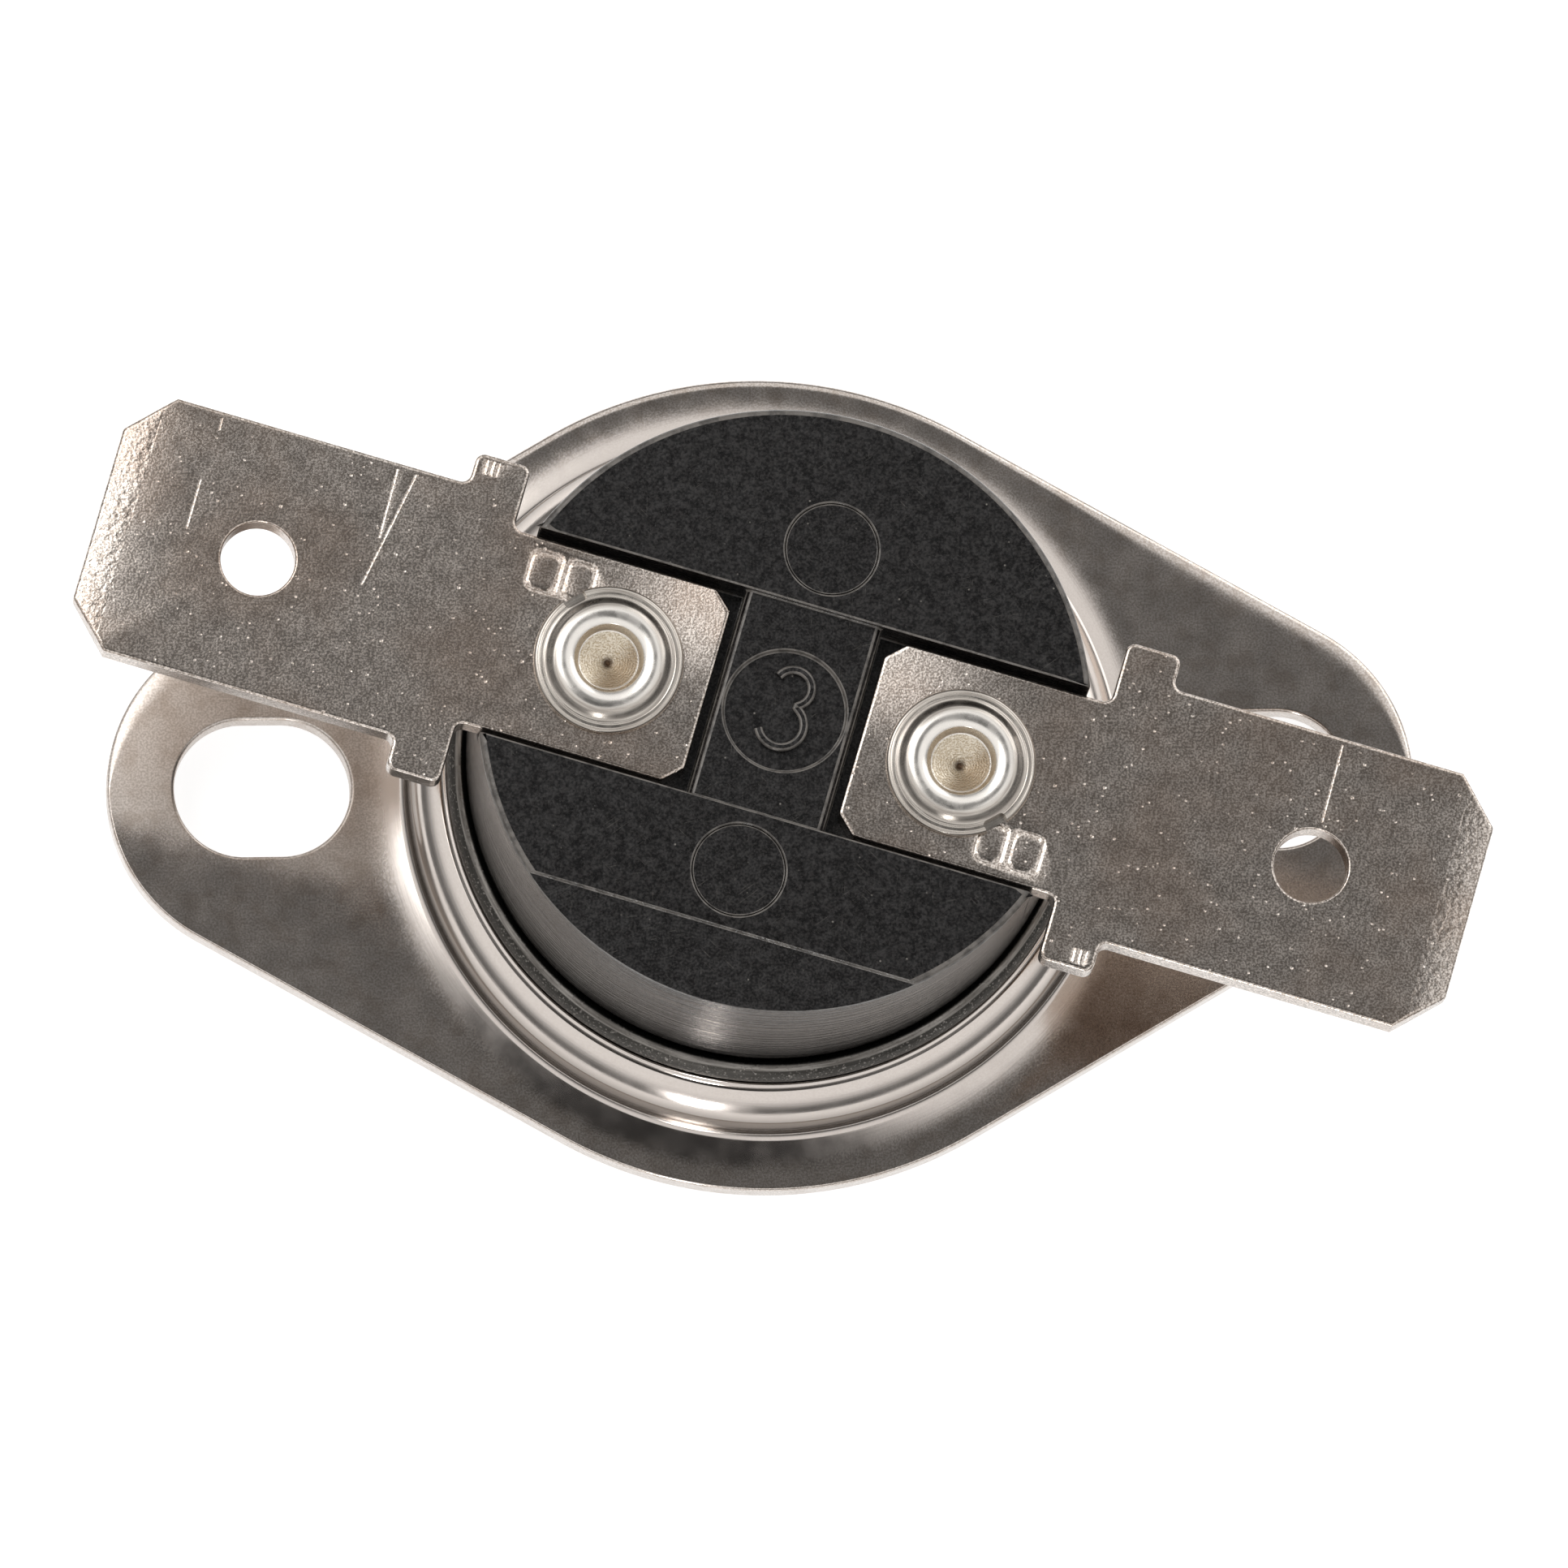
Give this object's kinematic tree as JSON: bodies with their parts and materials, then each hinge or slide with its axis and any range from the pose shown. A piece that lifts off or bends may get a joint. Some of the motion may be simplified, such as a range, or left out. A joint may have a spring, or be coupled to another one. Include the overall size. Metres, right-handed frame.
{
  "type": "snap disc thermostat",
  "caption": "Round oven thermostat with a loose two-slot flange bracket and two flat blade terminals riveted on a black body.",
  "frame": {"origin": "centre of the flat sensing face under the cap", "axes": "+Z from the sensing face to the terminals, +X along the two bracket slots; the terminals' line is turned -17.1 degrees about +Z from +X"},
  "size_m": [0.0332, 0.0196, 0.0104],
  "materials": {
    "nickel_plate": "satin nickel-plated pressed steel",
    "cap_metal": "satin drawn cap",
    "phenolic": "matt black phenolic moulding",
    "phenolic_inner": "dark brown phenolic moulding",
    "terminal_plate": "satin nickel-plated blade, brownish grey",
    "rivet_plate": "polished nickel-plated rivet",
    "bimetal": "bare bimetal strip",
    "ceramic": "off-white ceramic",
    "spring_copper": "bare copper alloy",
    "plate_brass": "bare brass",
    "silver": "silver contact"
  },
  "bodies": {
    "body": {"sensing_cap": "cap_metal", "housing": "phenolic", "guide_plate": "phenolic_inner", "bimetal_disc": "bimetal", "contact_arm": "spring_copper", "fixed_plate": "plate_brass", "fixed_contact": "silver", "terminal_left": "terminal_plate", "terminal_right": "terminal_plate", "rivet_left": "rivet_plate", "rivet_right": "rivet_plate"},
    "flange": {"mounting_bracket": "nickel_plate"},
    "pin": {"transfer_pin": "ceramic"},
    "contact": {"moving_contact": "silver"}
  },
  "joints": [
    {"name": "bracket_turn", "type": "hinge", "parent": "body", "child": "flange", "pos_m": [0, 0, 0.0027], "axis": [0, 0, 1], "continuous": true},
    {"name": "pin_travel", "type": "slide", "parent": "body", "child": "pin", "axis": [0, 0, 1], "range_m": [0, 0.00035], "stiffness_N_per_m": 300, "springref_m": -0.001, "deforming": ["contact_arm", "bimetal_disc"]},
    {"name": "contact_lift", "type": "hinge", "parent": "body", "child": "contact", "pos_m": [-0.00258, 0.00079, 0.00632], "axis": [-0.294, -0.9558, 0], "range_deg": [0, 7.6]}
  ],
  "couplings": [
    {"joint": "contact_lift", "follows": "pin_travel", "rad_per_m": 370.37}
  ]
}
